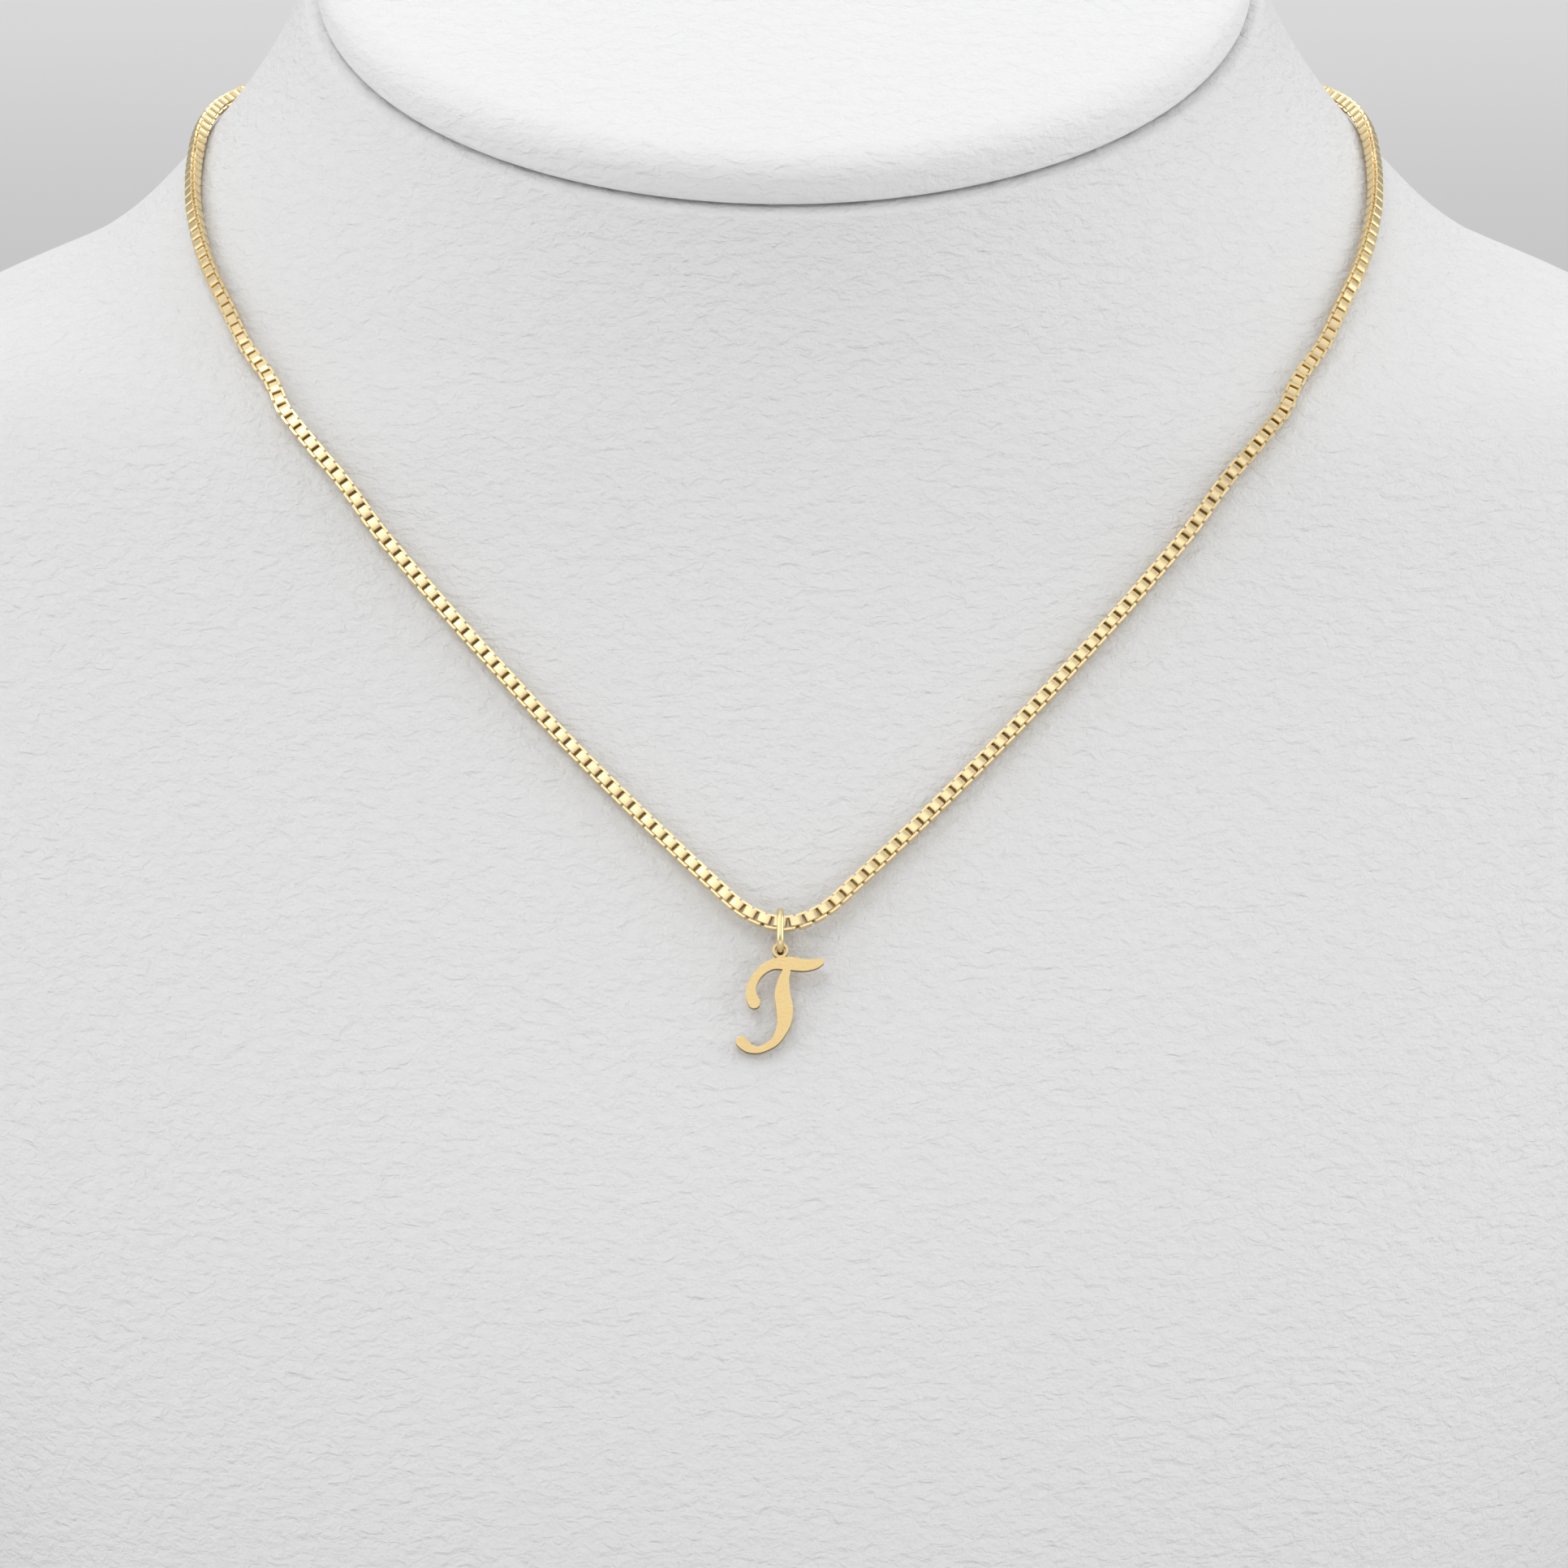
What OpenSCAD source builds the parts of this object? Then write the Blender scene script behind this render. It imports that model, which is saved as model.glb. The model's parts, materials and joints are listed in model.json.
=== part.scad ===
// Initial pendant on a box chain, shown on a leatherette neck bust.
// The origin is the middle of the bust's flat base: X to the right, Y to the back, Z up.
// The bust is a stack of sections. A place on it is an angle round the neck, 0 at the right
// shoulder and 90 at the front, and a level, 0 at the base and 1 at the neck's slanted cut.

/* [Neck bust] */
// Width of the bust over its shoulders
bust_w = 227; // [190:1:260]
// Height of the middle of the neck's slanted cut
bust_h = 202; // [170:1:230]
// Depth of the bust from chest to back
bust_d = 146; // [125:1:165]

/* [Neck cap] */
// Thickness of the padded cap at its rim
cap_t = 6.2; // [4:0.1:9]
// Ledge of the neck that shows round the cap
cap_ledge = 1.2; // [0.6:0.1:3]
// Radius of the cap's upper edge
cap_round = 3; // [1.5:0.1:3.5]
// How far the padding crowns above the rim
cap_crown = 2.2; // [0.5:0.1:5]
// Shadow gap between the cap and the neck's cut
cap_gap = 0.25; // [0.1:0.05:0.6]

/* [Box chain] */
// Width of the square chain
chain_w = 1.65; // [1.2:0.05:2.2]
// Clearance of the chain over the leatherette
chain_gap = 0.2; // [0.15:0.05:0.4]

/* [Jump ring] */
// Thickness of the ring's wire
ring_wire = 0.75; // [0.6:0.05:1.1]
// Clearance of the chain inside the ring
ring_play = 0.25; // [0.2:0.05:0.4]
// Straight length between the ring's two round ends
ring_straight = 1.7; // [0.9:0.1:2.5]

/* [Letter] */
// Height of the letter
letter_h = 10.5; // [8:0.1:16]
// Width of the letter
letter_w = 9.8; // [7:0.1:14]
// Thickness of the letter's plate
letter_t = 0.9; // [0.6:0.05:1.4]
// Width of its thickest stroke
stroke_w = 1.7; // [1.4:0.05:2.2]
// Width of the metal round the eyelet's hole
eyelet_band = 0.3; // [0.25:0.01:0.7]
// Overlap of the eyelet's band on the letter's bar, where it is soldered
eyelet_overlap = 0.15; // [0.1:0.01:0.25]
// Clearance of the jump ring's wire in the eyelet
eyelet_play = 0.3; // [0.2:0.01:0.5]
// Clearance of the letter's foot over the leatherette
letter_gap = 0.15; // [0.1:0.05:0.5]
// Place of the pendant to the right of the bust's middle
pendant_x = -0.4; // [-1:0.1:1]

/* [Clasp] */
// Outer diameter of the clasp's ring
clasp_d = 6.4; // [5:0.1:9]
// Thickness of the clasp's ring
clasp_wire = 1.3; // [1:0.1:1.6]
// Length of the sleeve that holds each end of the chain
sleeve_l = 2.6; // [2:0.1:4]
// Wall of that sleeve over the chain's width
sleeve_wall = 0.2; // [0.15:0.05:0.4]
// Gap between a sleeve and the chain's end
sleeve_gap = 0.05; // [0.02:0.01:0.1]

/* [Hidden] */

// Columns of the sections, each section running from the front over the ridge to the back
LEVEL = 0;
RIDGE = 1;
WIDTH = 2;
FRONT = 3;
FRONT_LEVEL = 4;
BACK = 5;
BACK_LEVEL = 6;
SQUARE = 7;
// level of the ridge, ridge's share of the way to the back, half width, front, front's level,
// back, back's level, squareness
SECTIONS = [
    [0.000, 0.58, 0.800, 0.972, 0.000, 0.821, 0.000, 2.35],
    [0.055, 0.58, 0.830, 1.000, 0.050, 0.858, 0.056, 2.35],
    [0.185, 0.56, 0.893, 0.993, 0.175, 0.923, 0.194, 2.35],
    [0.347, 0.53, 0.950, 0.889, 0.324, 0.975, 0.370, 2.30],
    [0.486, 0.50, 0.983, 0.718, 0.458, 1.000, 0.532, 2.25],
    [0.625, 0.47, 1.000, 0.513, 0.593, 1.000, 0.685, 2.20],
    [0.718, 0.46, 0.990, 0.383, 0.685, 0.975, 0.787, 2.15],
    [0.773, 0.47, 0.950, 0.321, 0.741, 0.949, 0.852, 2.10],
    [0.796, 0.48, 0.880, 0.299, 0.764, 0.936, 0.880, 2.07],
    [0.817, 0.49, 0.775, 0.281, 0.785, 0.923, 0.907, 2.03],
    [0.838, 0.50, 0.707, 0.267, 0.803, 0.914, 0.935, 2.00],
    [0.861, 0.50, 0.657, 0.257, 0.819, 0.910, 0.963, 2.00],
    [0.894, 0.50, 0.600, 0.247, 0.836, 0.908, 1.000, 2.00],
    [0.928, 0.50, 0.550, 0.240, 0.852, 0.909, 1.039, 2.00],
    [0.963, 0.50, 0.511, 0.235, 0.868, 0.914, 1.081, 2.00],
    [1.000, 0.50, 0.486, 0.231, 0.883, 0.925, 1.117, 2.00],
];
LAST = len(SECTIONS) - 1;
bust_sides = 60;
rings_per_section = 3;

// The chain's route over the right half, from the pendant to the nape:
// angle, level, share of the lift that the jump ring gives the chain
ROUTE = [
    [90, 0.5390, 1],
    [89.3, 0.5412, 0.93],
    [88.3, 0.548, 0.8],
    [87, 0.5617, 0.55],
    [84.6, 0.5864, 0.15],
    [80, 0.631, 0],
    [74.5, 0.683, 0],
    [68.5, 0.735, 0],
    [63, 0.775, 0],
    [55, 0.803, 0],
    [44, 0.828, 0],
    [32, 0.858, 0],
    [18, 0.884, 0],
    [3.5, 0.898, 0],
    [-11.5, 0.8955, 0],
    [-26, 0.883, 0],
    [-40, 0.876, 0],
    [-53.5, 0.8735, 0],
    [-66.5, 0.8725, 0],
    [-78, 0.872, 0],
    [-90, 0.872, 0],
];
steps_per_leg = 2;
chain_sides = 8;

// Strokes of the letter as shares of its width, height and thickest stroke, from its lower
// left corner: across, up, width of the stroke
BAR = [
    [0.222, 0.513, 0.80],
    [0.200, 0.560, 0.74],
    [0.187, 0.622, 0.62],
    [0.200, 0.700, 0.58],
    [0.255, 0.795, 0.54],
    [0.335, 0.868, 0.58],
    [0.435, 0.915, 0.66],
    [0.540, 0.925, 0.82],
    [0.648, 0.918, 0.84],
    [0.775, 0.903, 0.76],
    [0.895, 0.917, 0.62],
    [0.955, 0.938, 0.44],
];
STEM = [
    [0.562, 0.890, 0.46],
    [0.578, 0.842, 0.53],
    [0.546, 0.743, 0.70],
    [0.534, 0.600, 0.99],
    [0.556, 0.458, 1.06],
    [0.556, 0.316, 0.90],
    [0.519, 0.209, 0.70],
    [0.452, 0.107, 0.54],
    [0.363, 0.050, 0.46],
    [0.271, 0.017, 0.42],
    [0.178, 0.031, 0.56],
    [0.120, 0.066, 0.68],
    [0.081, 0.102, 0.72],
];
stroke_steps = 4;
round_fn = 48;

// Smooth curve through the rows of a table, at row i plus a share t
function row_at(table, i) =
    i < 0 ? 2 * table[0] - table[1]
    : i > len(table) - 1 ? 2 * table[len(table) - 1] - table[len(table) - 2]
    : table[i];
function between(a, b, c, d, t) =
    0.5 * (2 * b + (c - a) * t + (2 * a - 5 * b + 4 * c - d) * t ^ 2 + (3 * b - a - 3 * c + d) * t ^ 3);
function smooth(table, i, t) =
    between(row_at(table, i - 1), row_at(table, i), row_at(table, i + 1), row_at(table, i + 2), t);
function smooth_rows(table, steps) = [
    for (i = [0:len(table) - 2], k = [0:steps - 1]) smooth(table, i, k / steps),
    table[len(table) - 1]
];

// Section of the bust at any level, by a cubic between the two rows that it lies between
function section_slope(i) =
    let (low = SECTIONS[max(0, i - 1)], high = SECTIONS[min(LAST, i + 1)])
    (high - low) / (high[LEVEL] - low[LEVEL]);
function section_row(level) =
    max([for (i = [0:LAST - 1]) if (i == 0 || SECTIONS[i][LEVEL] <= level) i]);
function section_at(level) =
    let (
        i = section_row(level),
        span = SECTIONS[i + 1][LEVEL] - SECTIONS[i][LEVEL],
        t = (level - SECTIONS[i][LEVEL]) / span
    )
    (2 * t ^ 3 - 3 * t ^ 2 + 1) * SECTIONS[i] + (t ^ 3 - 2 * t ^ 2 + t) * span * section_slope(i)
    + (3 * t ^ 2 - 2 * t ^ 3) * SECTIONS[i + 1] + (t ^ 3 - t ^ 2) * span * section_slope(i + 1);

// Point of a section at an angle round the neck
function power(base, exponent) = sign(base) * abs(base) ^ exponent;
function section_point(s, angle) =
    let (
        reach = abs(sin(angle)) ^ (2 / s[SQUARE]),
        front = -s[FRONT] * bust_d / 2,
        back = s[BACK] * bust_d / 2,
        ridge = front + (back - front) * s[RIDGE],
        end = sin(angle) > 0 ? front : back,
        end_level = sin(angle) > 0 ? s[FRONT_LEVEL] : s[BACK_LEVEL]
    )
    [
        power(cos(angle), 2 / s[SQUARE]) * s[WIDTH] * bust_w / 2,
        ridge + (end - ridge) * reach,
        (s[LEVEL] + (end_level - s[LEVEL]) * reach) * bust_h
    ];
function skin(angle, level) = section_point(section_at(level), angle);

// Outward direction of the bust's surface, and a point that stands off it
function unit(v) = v / norm(v);
function outward(angle, level) =
    unit(cross(
        skin(angle + 0.5, level) - skin(angle - 0.5, level),
        skin(angle, max(0, level - 0.004)) - skin(angle, min(1, level + 0.004))
    ));
function over(angle, level, lift) = skin(angle, level) + outward(angle, level) * lift;

// Rings of the bust, from the base to the neck's cut
function bust_levels() = [
    for (i = [0:LAST - 1], k = [0:rings_per_section - 1])
        SECTIONS[i][LEVEL] + (SECTIONS[i + 1][LEVEL] - SECTIONS[i][LEVEL]) * k / rings_per_section,
    SECTIONS[LAST][LEVEL]
];
function bust_ring(level) =
    let (s = section_at(level))
    [for (k = [0:bust_sides - 1]) section_point(s, k * 360 / bust_sides)];

// The neck's slanted cut: its middle, its half axes and its slope
cut_front = skin(90, 1);
cut_back = skin(-90, 1);
cut_middle = (cut_front + cut_back) / 2;
cut_half_d = norm(cut_back - cut_front) / 2;
cut_half_w = skin(0, 1).x;
cut_slope = atan2(cut_back.z - cut_front.z, cut_back.y - cut_front.y);

// Profile of the cap: how far in from the rim, and height
cap_foot = 0.8;
function cap_profile() = concat(
    [for (a = [0, 45, 90]) [cap_foot * (1 - sin(a)), cap_foot * (1 - cos(a))]],
    [for (a = [0, 22.5, 45, 67.5, 90])
        [cap_round * (1 - cos(a)), cap_t - cap_round + cap_round * sin(a)]]
);
// Crown of the cap: share of the way in to its middle
CROWN = [0.2, 0.4, 0.6, 0.8];
function cap_rings() =
    let (
        a = cut_half_w - cap_ledge,
        b = cut_half_d - cap_ledge,
        rim = cap_profile()
    )
    concat(
        [for (p = rim) oval_ring(a - p[0], b - p[0], p[1])],
        [for (s = CROWN)
            oval_ring((a - cap_round) * (1 - s), (b - cap_round) * (1 - s),
                cap_t + cap_crown * (1 - (1 - s) ^ 2))]
    );
function oval_ring(a, b, z) =
    [for (k = [0:bust_sides - 1]) [a * cos(k * 360 / bust_sides), -b * sin(k * 360 / bust_sides), z]];

// The chain: its height over the leatherette, at rest and where the jump ring lifts it
chain_rest = chain_gap + chain_w / 2;
ring_inner = chain_w / 2 + ring_play;
ring_outer = ring_inner + ring_wire;
ring_lift = chain_gap + ring_outer;

// The clasp lies on the nape, where the route ends
nape = over(ROUTE[len(ROUTE) - 1][0], ROUTE[len(ROUTE) - 1][1], chain_rest + sleeve_wall);
nape_out = outward(ROUTE[len(ROUTE) - 1][0], ROUTE[len(ROUTE) - 1][1]);
nape_lean = atan2(nape_out.z, nape_out.y);
clasp_reach = clasp_d / 2 - clasp_wire / 2 + sleeve_l;

// Middle of the chain along the right half, with the outward direction under it
chain_line = [
    for (r = smooth_rows(ROUTE, steps_per_leg))
        let (out = outward(r[0], r[1]))
        [skin(r[0], r[1]) + out * (chain_rest + max(0, r[2]) * (ring_lift - chain_rest)), out]
];
end_room = chain_w;
right_half = concat(
    [for (p = chain_line) if (p[0].x > clasp_reach + end_room || p[0].y < 0) p],
    [[[clasp_reach + sleeve_gap, nape.y, nape.z], nape_out]]
);
function mirrored(v) = [-v.x, v.y, v.z];
chain_path = concat(
    [for (i = [len(right_half) - 1:-1:1]) [mirrored(right_half[i][0]), mirrored(right_half[i][1])]],
    right_half
);

// Square section of the chain with its corners cut, set square to the path
function chain_ring(i) =
    let (
        last = len(chain_path) - 1,
        along = i == 0 || i == last ? [-1, 0, 0]
            : unit(chain_path[i + 1][0] - chain_path[i - 1][0]),
        side = unit(cross(along, chain_path[i][1])),
        up = cross(side, along),
        radius = chain_w / 2 / cos(180 / chain_sides)
    )
    [for (k = [0:chain_sides - 1])
        let (a = (k + 0.5) * 360 / chain_sides)
        chain_path[i][0] + (side * cos(a) + up * sin(a)) * radius];

// Solid between rings of points, closed flat at both ends
module loft(rings) {
    sides = len(rings[0]);
    last = len(rings) - 1;
    polyhedron(
        points = [for (ring = rings, p = ring) p],
        faces = concat(
            [[for (k = [0:sides - 1]) k]],
            [for (i = [0:last - 1], k = [0:sides - 1])
                let (a = i * sides + k, b = i * sides + (k + 1) % sides)
                [a, a + sides, b + sides]],
            [for (i = [0:last - 1], k = [0:sides - 1])
                let (a = i * sides + k, b = i * sides + (k + 1) % sides)
                [a, b + sides, b]],
            [[for (k = [sides - 1:-1:0]) last * sides + k]]
        )
    );
}

// Chest under the pendant: children lie in a frame with Y up the slope and Z away from it
chest_out = outward(ROUTE[0][0], ROUTE[0][1]);
chest_slope = atan2(-chest_out.y, chest_out.z);
module on_chest() {
    translate(skin(ROUTE[0][0], ROUTE[0][1])) rotate([chest_slope, 0, 0]) translate([pendant_x, 0, 0])
        children();
}

// The eyelet hangs on the ring's lower end, its hole clear of the wire's bend
wire_bend = ring_inner - sqrt(ring_inner ^ 2 - (letter_t / 2) ^ 2);
eyelet_hole = ring_wire + wire_bend + eyelet_play;
eyelet_d = eyelet_hole + 2 * eyelet_band;

// Where the eyelet stands over the letter, as a share of its width, and the bar's row there
eyelet_share = 0.51;
BAR_UNDER_EYELET = 7;
bar_top = BAR[BAR_UNDER_EYELET][1] * letter_h + BAR[BAR_UNDER_EYELET][2] * stroke_w / 2;
// The letter from the middle of its eyelet down to its foot
letter_reach = eyelet_d / 2 - eyelet_overlap + bar_top;

// How far the chest falls away from its plane at the pendant by the letter's foot
level_step = 0.01;
chest_run = norm(skin(ROUTE[0][0], ROUTE[0][1]) - skin(ROUTE[0][0], ROUTE[0][1] - level_step)) / level_step;
foot_level = ROUTE[0][1] - (ring_straight + ring_outer + letter_reach) / chest_run;
chest_fall = (skin(ROUTE[0][0], ROUTE[0][1]) - skin(ROUTE[0][0], foot_level)) * chest_out;
// The letter's lean, which lays its foot on the chest
letter_lean = asin((ring_lift + chest_fall - letter_t / 2 - letter_gap) / letter_reach);
eyelet_y = -ring_straight - (ring_inner + ring_outer - wire_bend - sin(letter_lean) * letter_t / 2) / 2;

// Point on the edge of a stroke, at an angle from the way the stroke runs
function stroke_edge(line, i, angle) =
    let (
        a = line[max(0, i - 1)],
        b = line[min(len(line) - 1, i + 1)],
        along = unit([b.x - a.x, b.y - a.y]),
        side = [-along.y, along.x]
    )
    [line[i].x, line[i].y] + (along * cos(angle) + side * sin(angle)) * line[i].z / 2;
function stroke_line(table) = [
    for (r = smooth_rows(table, stroke_steps)) [r[0] * letter_w, r[1] * letter_h, r[2] * stroke_w]
];
// Outline of a stroke: out along one edge, round its end, back along the other, round its start
module stroke(table) {
    line = stroke_line(table);
    last = len(line) - 1;
    polygon(concat(
        [for (i = [0:last]) stroke_edge(line, i, 90)],
        [for (angle = [60:-30:-60]) stroke_edge(line, last, angle)],
        [for (i = [last:-1:0]) stroke_edge(line, i, -90)],
        [for (angle = [-120:-30:-240]) stroke_edge(line, 0, angle)]
    ));
}

module neck_bust() {
    color("whitesmoke") loft([for (level = bust_levels()) bust_ring(level)]);
}

module neck_cap() {
    color("white") translate(cut_middle) rotate([cut_slope, 0, 0]) translate([0, 0, cap_gap])
        loft(cap_rings());
}

module box_chain() {
    color("gold") loft([for (i = [0:len(chain_path) - 1]) chain_ring(i)]);
}

module sleeve() {
    rotate([0, 90, 0]) translate([0, 0, clasp_d / 2 - clasp_wire / 2])
        cylinder(d = chain_w + 2 * sleeve_wall, h = sleeve_l, $fn = round_fn);
}

module clasp() {
    color("goldenrod") translate(nape) rotate([nape_lean - 90, 0, 0]) {
        rotate_extrude($fn = round_fn) translate([clasp_d / 2 - clasp_wire / 2, 0]) circle(d = clasp_wire, $fn = 24);
        sleeve();
        mirror([1, 0, 0]) sleeve();
    }
}

module ring_end() {
    rotate_extrude(angle = 180, $fn = round_fn) translate([ring_inner + ring_wire / 2, 0])
        circle(d = ring_wire, $fn = 24);
}

module ring_side() {
    rotate([90, 0, 0]) cylinder(d = ring_wire, h = ring_straight, $fn = 24);
}

module jump_ring() {
    color("goldenrod") on_chest() translate([0, 0, ring_lift]) rotate([0, 90, 0]) {
        ring_end();
        translate([0, -ring_straight, 0]) rotate([0, 0, 180]) ring_end();
        for (way = [-1, 1])
            translate([way * (ring_inner + ring_wire / 2), 0, 0]) ring_side();
    }
}

module letter_pendant() {
    color("khaki") on_chest() translate([0, eyelet_y, ring_lift]) rotate([letter_lean, 0, 0])
        difference() {
            union() {
                translate([-eyelet_share * letter_w, -letter_reach, -letter_t / 2])
                    linear_extrude(letter_t) union() {
                        stroke(BAR);
                        stroke(STEM);
                    }
                translate([0, 0, -letter_t / 2]) cylinder(d = eyelet_d, h = letter_t, $fn = round_fn);
            }
            translate([0, 0, -letter_t]) cylinder(d = eyelet_hole, h = 2 * letter_t, $fn = round_fn);
        }
}

neck_bust();
neck_cap();
box_chain();
clasp();
jump_ring();
letter_pendant();
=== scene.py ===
"""Initial pendant on a box chain, worn by a leatherette neck bust with a padded cap.

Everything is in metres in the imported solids' frame: the origin is the middle of the bust's flat
base, X runs to the right as seen from the front, Y to the back and Z up. The sizes below repeat
the part's own, in millimetres.
"""

import json
import math
import random

import bmesh
import bpy
import numpy as np
from mathutils import Matrix, Vector

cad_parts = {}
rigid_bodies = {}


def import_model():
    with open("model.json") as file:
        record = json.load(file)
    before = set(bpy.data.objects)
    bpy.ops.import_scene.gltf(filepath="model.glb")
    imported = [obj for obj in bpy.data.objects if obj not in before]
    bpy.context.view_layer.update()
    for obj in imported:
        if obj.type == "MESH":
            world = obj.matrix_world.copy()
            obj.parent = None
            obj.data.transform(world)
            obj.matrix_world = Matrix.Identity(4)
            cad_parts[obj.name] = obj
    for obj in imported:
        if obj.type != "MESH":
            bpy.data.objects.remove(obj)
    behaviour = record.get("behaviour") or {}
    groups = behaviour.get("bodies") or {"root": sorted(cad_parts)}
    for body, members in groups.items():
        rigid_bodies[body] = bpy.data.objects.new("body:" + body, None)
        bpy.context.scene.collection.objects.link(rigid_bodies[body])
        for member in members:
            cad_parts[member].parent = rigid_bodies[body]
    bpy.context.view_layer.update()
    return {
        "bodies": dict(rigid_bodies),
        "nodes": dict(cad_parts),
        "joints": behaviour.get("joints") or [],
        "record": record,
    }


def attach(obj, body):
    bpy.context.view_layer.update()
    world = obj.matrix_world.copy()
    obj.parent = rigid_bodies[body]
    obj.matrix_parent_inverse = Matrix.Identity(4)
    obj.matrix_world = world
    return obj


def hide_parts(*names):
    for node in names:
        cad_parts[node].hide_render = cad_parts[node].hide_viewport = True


MM = 0.001

# Neck bust
BUST_W, BUST_H, BUST_D = 227, 202, 146
LEVEL, RIDGE, WIDTH, FRONT, FRONT_LEVEL, BACK, BACK_LEVEL, SQUARE = range(8)
# level of the ridge, ridge's share of the way to the back, half width, front, front's level,
# back, back's level, squareness
SECTIONS = np.array([
    (0.000, 0.58, 0.800, 0.972, 0.000, 0.821, 0.000, 2.35),
    (0.055, 0.58, 0.830, 1.000, 0.050, 0.858, 0.056, 2.35),
    (0.185, 0.56, 0.893, 0.993, 0.175, 0.923, 0.194, 2.35),
    (0.347, 0.53, 0.950, 0.889, 0.324, 0.975, 0.370, 2.30),
    (0.486, 0.50, 0.983, 0.718, 0.458, 1.000, 0.532, 2.25),
    (0.625, 0.47, 1.000, 0.513, 0.593, 1.000, 0.685, 2.20),
    (0.718, 0.46, 0.990, 0.383, 0.685, 0.975, 0.787, 2.15),
    (0.773, 0.47, 0.950, 0.321, 0.741, 0.949, 0.852, 2.10),
    (0.796, 0.48, 0.880, 0.299, 0.764, 0.936, 0.880, 2.07),
    (0.817, 0.49, 0.775, 0.281, 0.785, 0.923, 0.907, 2.03),
    (0.838, 0.50, 0.707, 0.267, 0.803, 0.914, 0.935, 2.00),
    (0.861, 0.50, 0.657, 0.257, 0.819, 0.910, 0.963, 2.00),
    (0.894, 0.50, 0.600, 0.247, 0.836, 0.908, 1.000, 2.00),
    (0.928, 0.50, 0.550, 0.240, 0.852, 0.909, 1.039, 2.00),
    (0.963, 0.50, 0.511, 0.235, 0.868, 0.914, 1.081, 2.00),
    (1.000, 0.50, 0.486, 0.231, 0.883, 0.925, 1.117, 2.00),
])
LAST = len(SECTIONS) - 1
RINGS_PER_SECTION = 3
BUST_SIDES = 96
RIM_ROUND = 1.0
BASE_ROUND = 2.0
# Rings beside the rounded edges, as shares of the rounding: two over the base, one under the cut
# and the inner one on each flat end
BASE_RINGS, RIM_RING, FLAT_RING = (0.4, 1.6), 1.3, 3

# Padded cap on the neck's slanted cut
CAP_T, CAP_LEDGE, CAP_ROUND, CAP_CROWN, CAP_GAP, CAP_FOOT = 6.2, 1.2, 3.0, 2.2, 0.25, 0.8
# The ring under its foot, angles of the rings round its foot and its shoulder, and shares of the
# way to its middle
UNDER_FOOT, FOOT_ANGLES, SHOULDER_ANGLES = 2.5, (45, 90), (0, 18, 36, 54, 72, 90)
CROWN = (0.06, 0.15, 0.28, 0.44, 0.62, 0.8, 0.93)

# Box chain: angle and level on the bust, share of the lift that the jump ring gives it
CHAIN_W, CHAIN_GAP = 1.65, 0.2
ROUTE = [
    (90, 0.5390, 1), (89.3, 0.5412, 0.93), (88.3, 0.548, 0.8), (87, 0.5617, 0.55),
    (84.6, 0.5864, 0.15), (80, 0.631, 0), (74.5, 0.683, 0), (68.5, 0.735, 0), (63, 0.775, 0),
    (55, 0.803, 0), (44, 0.828, 0), (32, 0.858, 0), (18, 0.884, 0), (3.5, 0.898, 0),
    (-11.5, 0.8955, 0), (-26, 0.883, 0), (-40, 0.876, 0), (-53.5, 0.8735, 0),
    (-66.5, 0.8725, 0), (-78, 0.872, 0), (-90, 0.872, 0),
]
STEPS_PER_LEG = 12
# One link is a flat strip bent to a box: its thickness, its width, the rounding of its bends
# outside and inside, and of its long edges
STRIP_T, STRIP_W, STRIP_BEND, STRIP_INNER_BEND, STRIP_BEVEL = 0.3, 1.03, 0.2, 0.08, 0.05
STRIP_SHARP = 80
LINK_PITCH, LINK_PLAY = 0.87, 0.01
# Slow twist along the chain and each link's own, in degrees, and the length it changes over
CHAIN_TWIST, LINK_TWIST, TWIST_LENGTH, TWIST_SEED = 4, 1.5, 19, 5

# Jump ring, pendant and clasp
RING_WIRE, RING_PLAY, RING_STRAIGHT, PENDANT_X = 0.75, 0.25, 1.7, -0.4
LETTER_BEVEL, LETTER_RIM = 0.12, 0.02
# Edges sharper than this many degrees are softened, faces turned the same way by this cosine are
# the plate's flats, and how fast the painted shade on the plate's side walls fades towards them
LETTER_SHARP, LETTER_FLAT, PAINTED_SHADE_FALL = 50, 0.999, 1.6
CLASP_D, CLASP_WIRE, SLEEVE_L, SLEEVE_WALL, SLEEVE_GAP = 6.4, 1.3, 2.6, 0.2, 0.05
SLEEVE_ROUND = 0.15
WIRE_SIDES, RING_STEPS, CLASP_STEPS, SLEEVE_SIDES = 20, 28, 64, 28

# Finishes: clouds' tones and painted shade on the letter's walls, as shares of a surface's tone
WHITE, LEATHER_CLOUD = (1, 1, 1), (0.985, 0.985, 0.99)
GOLD_CLOUD, GOLD_PAINTED_SHADE, FLOOR_CLOUD = 0.95, 0.1, 0.99

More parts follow.
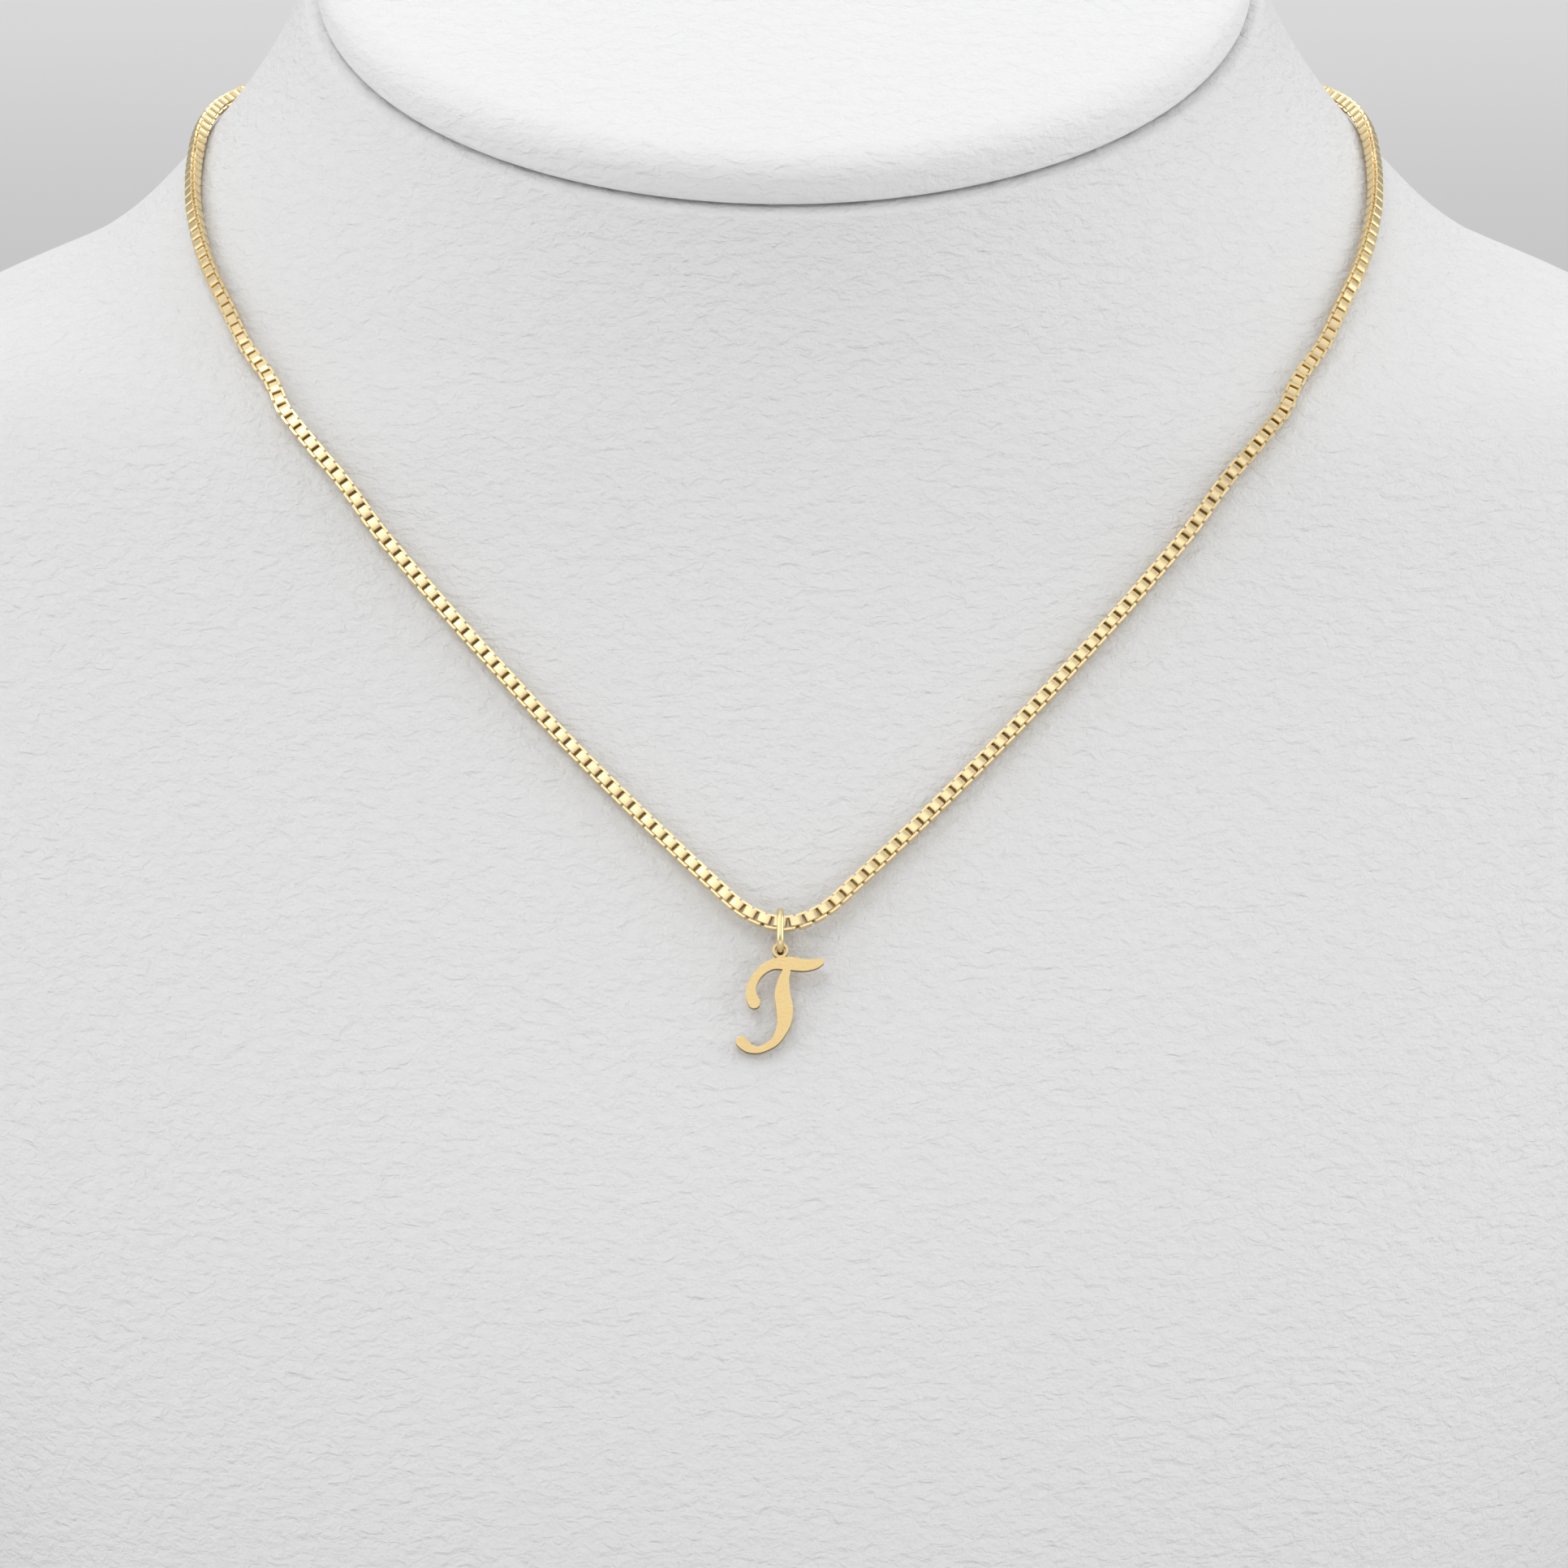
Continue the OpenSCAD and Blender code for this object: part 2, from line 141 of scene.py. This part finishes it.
# Stage, in metres and watts: each softbox has its place, what it faces, its size and its power
FLOOR_REACH, SKY = 14, 0.38
CHEST, LOW_CHEST, FAR_FLOOR = (0, -0.05, 0.13), (0, -0.07, 0.05), (0, 4.5, 0)
SOFTBOXES = {
    "front": ((-0.12, -1.0, 1.12), CHEST, (1.4, 0.8), 3.75),
    "key": ((-0.4, -0.55, 1.5), CHEST, (0.5, 0.5), 2.5),
    "top": ((0.0, 0.05, 1.5), CHEST, (2.6, 1.2), 5.3),
    "rear": ((0.0, 0.6, 1.35), CHEST, (2.6, 1.0), 1.8),
    "left": ((-1.25, -0.25, 0.55), CHEST, (1.2, 1.0), 6.7),
    "right": ((1.25, -0.25, 0.55), CHEST, (1.2, 1.0), 8.2),
    "low": ((0.0, -1.4, 0.35), CHEST, (2.4, 0.7), 0.8),
    "near": ((0.0, -0.3, 0.05), LOW_CHEST, (0.3, 0.06), 0.075),
    "backdrop": ((0.0, 4.5, 3.0), FAR_FLOOR, (6.0, 4.0), 132),
}
# Camera: what it looks at, how far off, degrees over level, and sensor and lens in millimetres
VIEW_TARGET, VIEW_DISTANCE, VIEW_LIFT = (0, -0.0413, 0.1182), 0.938, 8
SENSOR, LENS, CLIP_START = 36, 197.5, 0.05

CHAIN_REST = CHAIN_GAP + CHAIN_W / 2
RING_INNER = CHAIN_W / 2 + RING_PLAY
RING_LIFT = CHAIN_GAP + RING_INNER + RING_WIRE
CLASP_REACH = CLASP_D / 2 - CLASP_WIRE / 2 + SLEEVE_L


# The bust's surface, in millimetres

def section_slope(i):
    low, high = SECTIONS[max(0, i - 1)], SECTIONS[min(LAST, i + 1)]
    return (high - low) / (high[LEVEL] - low[LEVEL])


def section_at(level):
    """Section of the bust at any level, by a cubic between the rows on both sides of it."""
    i = int(np.searchsorted(SECTIONS[:, LEVEL], level, side="right")) - 1
    i = max(0, min(LAST - 1, i))
    span = SECTIONS[i + 1][LEVEL] - SECTIONS[i][LEVEL]
    t = (level - SECTIONS[i][LEVEL]) / span
    return (
        (2 * t**3 - 3 * t**2 + 1) * SECTIONS[i]
        + (t**3 - 2 * t**2 + t) * span * section_slope(i)
        + (3 * t**2 - 2 * t**3) * SECTIONS[i + 1]
        + (t**3 - t**2) * span * section_slope(i + 1)
    )


def skin(angle, level):
    """Point of the bust's skin at an angle round the neck, 90 at the front, and a level."""
    s = section_at(level)
    across, reach = math.cos(math.radians(angle)), math.sin(math.radians(angle))
    front, back = -s[FRONT] * BUST_D / 2, s[BACK] * BUST_D / 2
    ridge = front + (back - front) * s[RIDGE]
    end, end_level = (front, s[FRONT_LEVEL]) if reach > 0 else (back, s[BACK_LEVEL])
    share = abs(reach) ** (2 / s[SQUARE])
    x = math.copysign(abs(across) ** (2 / s[SQUARE]), across) * s[WIDTH] * BUST_W / 2
    z = (s[LEVEL] + (end_level - s[LEVEL]) * share) * BUST_H
    return Vector((x, ridge + (end - ridge) * share, z))


def outward(angle, level):
    round_neck = skin(angle + 0.5, level) - skin(angle - 0.5, level)
    down = skin(angle, max(0, level - 0.004)) - skin(angle, min(1, level + 0.004))
    return round_neck.cross(down).normalized()


# Mesh helpers

def piece(name, bm, material, angle=40):
    """Finishes a bmesh made in millimetres as a smooth object in metres."""
    bmesh.ops.remove_doubles(bm, verts=bm.verts, dist=1e-5)
    bmesh.ops.recalc_face_normals(bm, faces=bm.faces)
    bmesh.ops.scale(bm, vec=(MM, MM, MM), verts=bm.verts)
    mesh = bpy.data.meshes.new(name)
    bm.to_mesh(mesh)
    bm.free()
    mesh.shade_smooth()
    mesh.set_sharp_from_angle(angle=math.radians(angle))
    mesh.materials.append(material)
    made = bpy.data.objects.new(name, mesh)
    bpy.context.collection.objects.link(made)
    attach(made, "root")
    return made


def subdivided(made, levels):
    smoother = made.modifiers.new("smooth", "SUBSURF")
    smoother.levels = smoother.render_levels = levels
    return made


def next_ring(bm, edges, place):
    """Extrudes a ring of edges and puts each new vertex where place(its turn) says."""
    turn = bm.verts.layers.float["turn"]
    made = bmesh.ops.extrude_edge_only(bm, edges=edges)["geom"]
    for vert in made:
        if isinstance(vert, bmesh.types.BMVert):
            vert.co = place(vert[turn])
    return [g for g in made if isinstance(g, bmesh.types.BMEdge)]


def lofted(rings, sides):
    """Closed shell through rings, each a function from an angle in degrees to a point."""
    bm = bmesh.new()
    turn = bm.verts.layers.float.new("turn")
    start = bmesh.ops.create_circle(bm, segments=sides, radius=1)["verts"]
    for vert in start:
        vert[turn] = math.degrees(math.atan2(vert.co.y, vert.co.x))
        vert.co = rings[0](vert[turn])
    edges = list(bm.edges)
    first = list(edges)
    for ring in rings[1:]:
        edges = next_ring(bm, edges, ring)
    bmesh.ops.edgeloop_fill(bm, edges=first)
    bmesh.ops.edgeloop_fill(bm, edges=edges)
    return bm


# Materials

class Mask:
    """A value in a node tree that takes arithmetic."""

    def __init__(self, paint, socket):
        self.paint, self.socket = paint, socket

    def _math(self, operation, a, b):
        return self.paint.node("ShaderNodeMath", {"operation": operation}, {0: a, 1: b})

    def __add__(self, other):
        return self._math("ADD", self, other)

    def __mul__(self, other):
        return self._math("MULTIPLY", self, other)

    __radd__ = __add__
    __rmul__ = __mul__


class Paint:
    """One material: node() adds any node and gives back its output as a Mask."""

    def __init__(self, name):
        self.material = bpy.data.materials.new(name)
        self.material.use_nodes = True
        self.tree = self.material.node_tree
        self.tree.nodes.clear()
        self.place = self.node("ShaderNodeTexCoord", output="Object")

    def node(self, kind, settings=None, inputs=None, output=0):
        made = self.tree.nodes.new(kind)
        for name, value in (settings or {}).items():
            setattr(made, name, value)
        for name, value in (inputs or {}).items():
            if isinstance(value, Mask):
                self.tree.links.new(value.socket, made.inputs[name])
            else:
                made.inputs[name].default_value = value
        return None if output is None else Mask(self, made.outputs[output])

    def noise(self, scale, detail=3, roughness=0.5, stretch=(1, 1, 1), distortion=0):
        """Noise between about 0 and 1. Scale is in features a metre."""
        place = self.node("ShaderNodeMapping", None, {"Vector": self.place, "Scale": stretch})
        return self.node(
            "ShaderNodeTexNoise", None,
            {"Vector": place, "Scale": scale, "Detail": detail, "Roughness": roughness,
             "Distortion": distortion},
        )

    def blend(self, share, low, high):
        """Colour between two colours, by a share."""
        return self.node(
            "ShaderNodeMix", {"data_type": "RGBA"}, {0: share, 6: low, 7: high}, output=2
        )

    def bump(self, height, depth):
        """Normal for a height between 0 and 1, with the relief's depth in metres."""
        return self.node("ShaderNodeBump", None, {"Height": height, "Distance": depth})

    def finish(self, **sockets):
        named = {name.replace("_", " "): value for name, value in sockets.items()}
        shader = self.node("ShaderNodeBsdfPrincipled", None, named)
        self.node("ShaderNodeOutputMaterial", None, {"Surface": shader}, output=None)
        return self.material


def colour(tones, share=1):
    """Opaque colour from its red, green and blue tones, each times a share."""
    return (*[tone * share for tone in tones], 1)


def leatherette(name, tone, grain_depth):
    """Matt white leatherette: crinkled grain that runs level, over faint clouding."""
    paint = Paint(name)
    cloud = paint.noise(22, detail=2)
    crinkle = paint.noise(470, detail=3, roughness=0.58, stretch=(1, 1, 1.9), distortion=0.45)
    pores = paint.noise(2400, detail=2, stretch=(1.3, 1, 1))
    return paint.finish(
        Base_Color=paint.blend(cloud, colour(LEATHER_CLOUD, tone), colour(WHITE, tone)),
        Roughness=0.52 + 0.12 * crinkle,
        Normal=paint.bump(crinkle * 0.85 + pores * 0.15, grain_depth),
        Specular_IOR_Level=0.35,
    )


def gold(name, base, rough, spread, relief, scale, painted_shade_share=0):
    """Gold with faint clouds in its tone and a fine relief from casting and polishing.

    Faces that the piece's attribute marks as side walls are darker by a share: painted shade.
    """
    paint = Paint(name)
    cloud = paint.noise(350, detail=2)
    relief_noise = paint.noise(scale, detail=3, roughness=0.6)
    shade = paint.blend(cloud, colour(base, GOLD_CLOUD), colour(base))
    if painted_shade_share:
        # Painted shade: the side walls darkened towards a tenth of the gold's own tone
        painted_wall_shade = paint.node("ShaderNodeAttribute", {"attribute_name": "painted_wall_shade"}, output=2)
        shade = paint.blend(painted_wall_shade * painted_shade_share, shade, colour(base, GOLD_PAINTED_SHADE))
    return paint.finish(
        Base_Color=shade,
        Metallic=1.0,
        Roughness=rough + spread * relief_noise,
        Normal=paint.bump(relief_noise, relief),
    )


def plain(name, tone):
    paint = Paint(name)
    cloud = paint.noise(1.5, detail=2)
    shade = paint.blend(cloud, colour(WHITE, tone * FLOOR_CLOUD), colour(WHITE, tone))
    return paint.finish(Base_Color=shade, Roughness=0.9)


# Bust and cap

def cut_frame():
    """The neck's slanted cut: matrix from its own frame, half width and half depth."""
    front, back = skin(90, 1), skin(-90, 1)
    slope = math.atan2(back.z - front.z, back.y - front.y)
    place = Matrix.Translation((front + back) / 2) @ Matrix.Rotation(slope, 4, "X")
    return place, skin(0, 1).x, (back - front).length / 2


def neck_bust(material):
    levels = [share * BASE_ROUND / BUST_H for share in BASE_RINGS]
    for i in range(LAST):
        for k in range(RINGS_PER_SECTION):
            share = k / RINGS_PER_SECTION
            levels.append(SECTIONS[i][LEVEL] * (1 - share) + SECTIONS[i + 1][LEVEL] * share)
    levels = [v for v in levels if v > 0] + [1 - RIM_RING * RIM_ROUND / BUST_H, 1]
    levels.sort()
    middle = cut_frame()[0].translation

    def base_ring(inset):
        def at(angle):
            edge = skin(angle, 0)
            return edge * ((edge.length - inset) / edge.length)
        return at

    def cut_ring(inset):
        def at(angle):
            edge = skin(angle, 1)
            return edge + (middle - edge).normalized() * inset
        return at

    rings = [base_ring(FLAT_RING * BASE_ROUND), base_ring(BASE_ROUND)]
    rings += [lambda angle, level=level: skin(angle, level) for level in levels]
    rings += [cut_ring(RIM_ROUND), cut_ring(FLAT_RING * RIM_ROUND)]
    made = piece("neck_bust_skin", lofted(rings, BUST_SIDES), material, angle=180)
    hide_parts("neck_bust")
    return subdivided(made, 1)


def neck_cap(material):
    place, half_w, half_d = cut_frame()
    a, b = half_w - CAP_LEDGE, half_d - CAP_LEDGE
    rise = CAP_T - CAP_ROUND
    profile = [(CAP_FOOT * UNDER_FOOT, 0), (CAP_FOOT, 0)]
    profile += [
        (CAP_FOOT * (1 - math.sin(math.radians(v))), CAP_FOOT * (1 - math.cos(math.radians(v))))
        for v in FOOT_ANGLES
    ]
    profile += [
        (CAP_ROUND * (1 - math.cos(math.radians(v))), rise + CAP_ROUND * math.sin(math.radians(v)))
        for v in SHOULDER_ANGLES
    ]

    def oval(half_w, half_d, height):
        def at(angle):
            v = math.radians(angle)
            flat = Vector((half_w * math.cos(v), -half_d * math.sin(v), height + CAP_GAP))
            return place @ flat
        return at

    rings = [oval(a - inset, b - inset, height) for inset, height in profile]
    rings += [
        oval((a - CAP_ROUND) * (1 - s), (b - CAP_ROUND) * (1 - s),
             CAP_T + CAP_CROWN * (1 - (1 - s) ** 2))
        for s in CROWN
    ]
    made = piece("neck_cap_pad", lofted(rings, BUST_SIDES), material, angle=180)
    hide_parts("neck_cap")
    subdivided(made, 1)
    return made


# Chain

def smooth_rows(rows, steps):
    """Catmull-Rom curve through the rows."""
    p = np.array(rows, float)
    p = np.vstack([2 * p[0] - p[1], p, 2 * p[-1] - p[-2]])
    out = []
    for i in range(1, len(p) - 2):
        a, b, c, d = p[i - 1 : i + 3]
        for k in range(steps):
            t = k / steps
            out.append(
                0.5 * (2 * b + (c - a) * t + (2 * a - 5 * b + 4 * c - d) * t**2
                       + (3 * b - a - 3 * c + d) * t**3)
            )
    out.append(p[-2])
    return out


def chain_path():
    """Middle of the chain with the outward direction under it, from one sleeve to the other."""
    half = []
    for angle, level, lift in smooth_rows(ROUTE, STEPS_PER_LEG):
        out = outward(angle, level)
        stand = CHAIN_REST + max(0, lift) * (RING_LIFT - CHAIN_REST)
        half.append((skin(angle, level) + out * stand, out))
    nape, nape_out, _ = nape_frame()
    end = Vector((CLASP_REACH + SLEEVE_GAP, nape.y, nape.z))
    half = [p for p in half if p[0].x > end.x + 2 * CHAIN_W or p[0].y < 0]
    half.append((end, nape_out))
    flip = Vector((-1, 1, 1))
    return [(p * flip, n * flip) for p, n in reversed(half[1:])] + half


def nape_frame():
    angle, level, _ = ROUTE[-1]
    out = outward(angle, level)
    place = skin(angle, level) + out * (CHAIN_REST + SLEEVE_WALL)
    return place, out, math.atan2(out.z, out.y)


def box_link():
    """One link: a thick strip bent to a box round Z, with its length along X."""
    bm = bmesh.new()
    length = LINK_PITCH + 2 * STRIP_T + LINK_PLAY

    def box_loop(half_l, half_w, bend):
        """Ring of 12 points: a box with three points round each corner."""
        ring = bmesh.ops.create_circle(bm, segments=12, radius=1)["verts"]
        for vert in ring:
            step = round(math.degrees(math.atan2(vert.co.y, vert.co.x)) % 360 / 30) % 12
            turn = math.radians(90 * (step // 3) + 45 * (step % 3))
            corner = math.radians(90 * (step // 3) + 45)
            vert.co = (
                math.copysign(half_l - bend, math.cos(corner)) + bend * math.cos(turn),
                math.copysign(half_w - bend, math.sin(corner)) + bend * math.sin(turn),
                -STRIP_W / 2,
            )

    box_loop(length / 2, CHAIN_W / 2, STRIP_BEND)
    box_loop(length / 2 - STRIP_T, CHAIN_W / 2 - STRIP_T, STRIP_INNER_BEND)
    side = bmesh.ops.bridge_loops(bm, edges=bm.edges[:])["faces"]
    made = bmesh.ops.extrude_face_region(bm, geom=side)["geom"]
    top = [g for g in made if isinstance(g, bmesh.types.BMVert)]
    bmesh.ops.translate(bm, vec=(0, 0, STRIP_W), verts=top)
    bmesh.ops.recalc_face_normals(bm, faces=bm.faces)
    rims = [e for e in bm.edges if e.calc_face_angle(0) > math.radians(STRIP_SHARP)
            and abs(e.verts[0].co.z - e.verts[1].co.z) < STRIP_BEVEL]
    bmesh.ops.bevel(
        bm, geom=rims, offset=STRIP_BEVEL, offset_type="OFFSET", affect="EDGES", segments=1,
        profile=0.5, material=-1,
    )
    mesh = bpy.data.meshes.new("box_link")
    bm.to_mesh(mesh)
    bm.free()
    return mesh


def box_chain(material):
    path = chain_path()
    points = np.array([p for p, _ in path])
    outs = np.array([n for _, n in path])
    gone = np.concatenate([[0], np.cumsum(np.linalg.norm(np.diff(points, axis=0), axis=1))])
    count = round(gone[-1] / LINK_PITCH)
    link = box_link()
    chance = random.Random(TWIST_SEED)
    bm = bmesh.new()
    for k in range(count):
        s = (k + 0.5) / count * gone[-1]
        at, ahead, behind = [
            Vector([np.interp(v, gone, points[:, i]) for i in range(3)])
            for v in (s, s + LINK_PITCH / 2, s - LINK_PITCH / 2)
        ]
        out = Vector([np.interp(s, gone, outs[:, i]) for i in range(3)])
        along = (ahead - behind).normalized()
        side = along.cross(out).normalized()
        up = side.cross(along)
        twist = CHAIN_TWIST * math.sin(s / TWIST_LENGTH) + chance.uniform(-LINK_TWIST, LINK_TWIST)
        roll = math.radians(90 * (k % 2) + twist)
        frame = Matrix((along, side, up)).transposed().to_4x4()
        turned = Matrix.Translation(at) @ frame @ Matrix.Rotation(roll, 4, "X")
        before = len(bm.verts)
        bm.from_mesh(link)
        bm.verts.ensure_lookup_table()
        bmesh.ops.transform(bm, matrix=turned, verts=bm.verts[before:])
    made = piece("box_chain_links", bm, material, angle=35)
    bpy.data.meshes.remove(link)
    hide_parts("box_chain")
    return made


# Pendant and clasp

def chest_frame():
    """Frame on the chest under the pendant: Y up the slope and Z away from it."""
    angle, level, _ = ROUTE[0]
    out = outward(angle, level)
    slope = math.atan2(-out.y, out.z)
    return (
        Matrix.Translation(skin(angle, level))
        @ Matrix.Rotation(slope, 4, "X")
        @ Matrix.Translation((PENDANT_X, 0, 0))
    )


def stood_wire(bm, thickness, reach):
    """A round wire's section, stood beside the middle, ready to be turned round Z."""
    wire = bmesh.ops.create_circle(bm, segments=WIRE_SIDES, radius=thickness / 2)
    turn_up = Matrix.Translation((reach, 0, 0)) @ Matrix.Rotation(math.radians(90), 4, "X")
    bmesh.ops.transform(bm, matrix=turn_up, verts=wire["verts"])


def jump_ring(material):
    """Oval ring: a round wire turned through two half circles with straights between."""
    bm = bmesh.new()
    stood_wire(bm, RING_WIRE, RING_INNER + RING_WIRE / 2)
    edges = bm.edges[:]
    for middle in (0, -RING_STRAIGHT):
        bent = bmesh.ops.spin(
            bm, geom=edges, cent=(0, middle, 0), axis=(0, 0, 1), dvec=(0, 0, 0),
            angle=math.pi, steps=RING_STEPS, use_merge=False, use_duplicate=False,
        )["geom_last"]
        edges = [g for g in bent if isinstance(g, bmesh.types.BMEdge)]
        made = bmesh.ops.extrude_edge_only(bm, edges=edges)["geom"]
        drop = RING_STRAIGHT * (-1 if middle == 0 else 1)
        verts = [g for g in made if isinstance(g, bmesh.types.BMVert)]
        bmesh.ops.translate(bm, vec=(0, drop, 0), verts=verts)
        edges = [g for g in made if isinstance(g, bmesh.types.BMEdge)]
    place = (
        chest_frame()
        @ Matrix.Translation((0, 0, RING_LIFT))
        @ Matrix.Rotation(math.radians(90), 4, "Y")
    )
    bmesh.ops.transform(bm, matrix=place, verts=bm.verts)
    made = piece("jump_ring_wire", bm, material)
    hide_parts("jump_ring")
    return made


def letter(material):
    """The cast letter with its eyelet: the solid's own shape with softened edges."""
    bm = bmesh.new()
    bm.from_mesh(frame["nodes"]["letter_pendant"].data)
    bmesh.ops.scale(bm, vec=(1 / MM, 1 / MM, 1 / MM), verts=bm.verts)
    bmesh.ops.remove_doubles(bm, verts=bm.verts, dist=1e-4)
    bmesh.ops.dissolve_limit(
        bm, angle_limit=math.radians(1), verts=bm.verts, edges=bm.edges,
        use_dissolve_boundaries=False,
    )
    sharp = [e for e in bm.edges if len(e.link_faces) == 2
             and e.calc_face_angle() > math.radians(LETTER_SHARP)]
    bmesh.ops.bevel(
        bm, geom=sharp, offset=LETTER_BEVEL, offset_type="OFFSET", affect="EDGES", segments=3,
        profile=0.5, material=-1, clamp_overlap=True,
    )
    bm.normal_update()
    facing = max(bm.faces, key=lambda face: face.calc_area()).normal.copy()
    flats = [face for face in bm.faces if abs(face.normal.dot(facing)) > LETTER_FLAT]
    bmesh.ops.inset_region(bm, faces=flats, thickness=LETTER_RIM, use_even_offset=True)
    made = piece("letter_plate", bm, material, angle=30)
    # Painted shade: each face gets a share of shade, full on the side walls, fading over the
    # bevels to none on the flats
    painted_wall_shade = made.data.attributes.new("painted_wall_shade", "FLOAT", "FACE")
    for face, value in zip(made.data.polygons, painted_wall_shade.data):
        value.value = max(0, 1 - PAINTED_SHADE_FALL * abs(face.normal.dot(facing)))
    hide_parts("letter_pendant")
    return made


def clasp(material):
    """Plain ring with a sleeve on each side that holds the chain's ends."""
    bm = bmesh.new()
    reach = CLASP_D / 2 - CLASP_WIRE / 2
    stood_wire(bm, CLASP_WIRE, reach)
    bmesh.ops.spin(
        bm, geom=bm.edges[:], cent=(0, 0, 0), axis=(0, 0, 1), dvec=(0, 0, 0),
        angle=2 * math.pi, steps=CLASP_STEPS, use_merge=True, use_duplicate=False,
    )
    for way in (-1, 1):
        sleeve = bmesh.ops.create_cone(
            bm, cap_ends=True, segments=SLEEVE_SIDES, radius1=CHAIN_W / 2 + SLEEVE_WALL,
            radius2=CHAIN_W / 2 + SLEEVE_WALL, depth=SLEEVE_L,
            matrix=Matrix.Translation((way * (reach + SLEEVE_L / 2), 0, 0))
            @ Matrix.Rotation(math.radians(90), 4, "Y"),
        )["verts"]
        rims = {e for v in sleeve for e in v.link_edges if e.calc_face_angle(0) > 1}
        bmesh.ops.bevel(
            bm, geom=list(rims), offset=SLEEVE_ROUND, offset_type="OFFSET", affect="EDGES",
            segments=3, profile=0.5, material=-1,
        )
    nape, _, lean = nape_frame()
    place = Matrix.Translation(nape) @ Matrix.Rotation(lean - math.pi / 2, 4, "X")
    bmesh.ops.transform(bm, matrix=place, verts=bm.verts)
    made = piece("clasp_ring", bm, material)
    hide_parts("clasp")
    return made


# Stage

def floor(material):
    bm = bmesh.new()
    bmesh.ops.create_grid(bm, x_segments=2, y_segments=2, size=FLOOR_REACH)
    mesh = bpy.data.meshes.new("floor")
    bm.to_mesh(mesh)
    bm.free()
    mesh.materials.append(material)
    made = bpy.data.objects.new("floor", mesh)
    bpy.context.collection.objects.link(made)


def softbox(name, place, target, size, power):
    light = bpy.data.lights.new(name, "AREA")
    light.shape = "RECTANGLE"
    light.size, light.size_y = size
    light.energy = power
    made = bpy.data.objects.new(name, light)
    made.location = place
    made.rotation_euler = (Vector(target) - Vector(place)).to_track_quat("-Z", "Y").to_euler()
    made.visible_camera = False
    bpy.context.collection.objects.link(made)


def studio():
    world = bpy.data.worlds.new("studio")
    world.use_nodes = True
    sky = world.node_tree.nodes["Background"]
    sky.inputs["Color"].default_value = colour(WHITE)
    sky.inputs["Strength"].default_value = SKY
    bpy.context.scene.world = world
    bpy.context.scene.view_settings.view_transform = "Standard"
    for name, (place, target, size, power) in SOFTBOXES.items():
        softbox(name, place, target, size, power)


def camera():
    """The photo's view, a little above level and close in front of the chest."""
    lens = bpy.data.cameras.new("view")
    lens.sensor_width = SENSOR
    lens.lens = LENS
    lens.clip_start = CLIP_START
    made = bpy.data.objects.new("view", lens)
    lift = math.radians(VIEW_LIFT)
    back = Vector((0, -math.cos(lift), math.sin(lift)))
    made.location = Vector(VIEW_TARGET) + back * VIEW_DISTANCE
    made.rotation_euler = (-back).to_track_quat("-Z", "Y").to_euler()
    bpy.context.collection.objects.link(made)
    bpy.context.scene.camera = made


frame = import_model()

camera()
studio()
floor(plain("pale_floor", tone=0.6))
neck_bust(leatherette("bust_leatherette", tone=0.716, grain_depth=0.0006))
neck_cap(leatherette("cap_leatherette", tone=0.816, grain_depth=0.0005))
box_chain(gold(
    "chain_gold", (0.88, 0.71, 0.41), rough=0.24, spread=0.10, relief=0.00001, scale=3000
))
jump_ring(gold(
    "ring_gold", (0.81, 0.66, 0.36), rough=0.24, spread=0.10, relief=0.00001, scale=2500
))
# The letter's side walls carry painted shade at three quarters strength.
letter(gold(
    "letter_gold", (0.93, 0.70, 0.34), rough=0.32, spread=0.12, relief=0.00003, scale=4500,
    painted_shade_share=0.75,
))
clasp(gold(
    "clasp_gold", (0.90, 0.72, 0.40), rough=0.16, spread=0.10, relief=0.00001, scale=2500
))
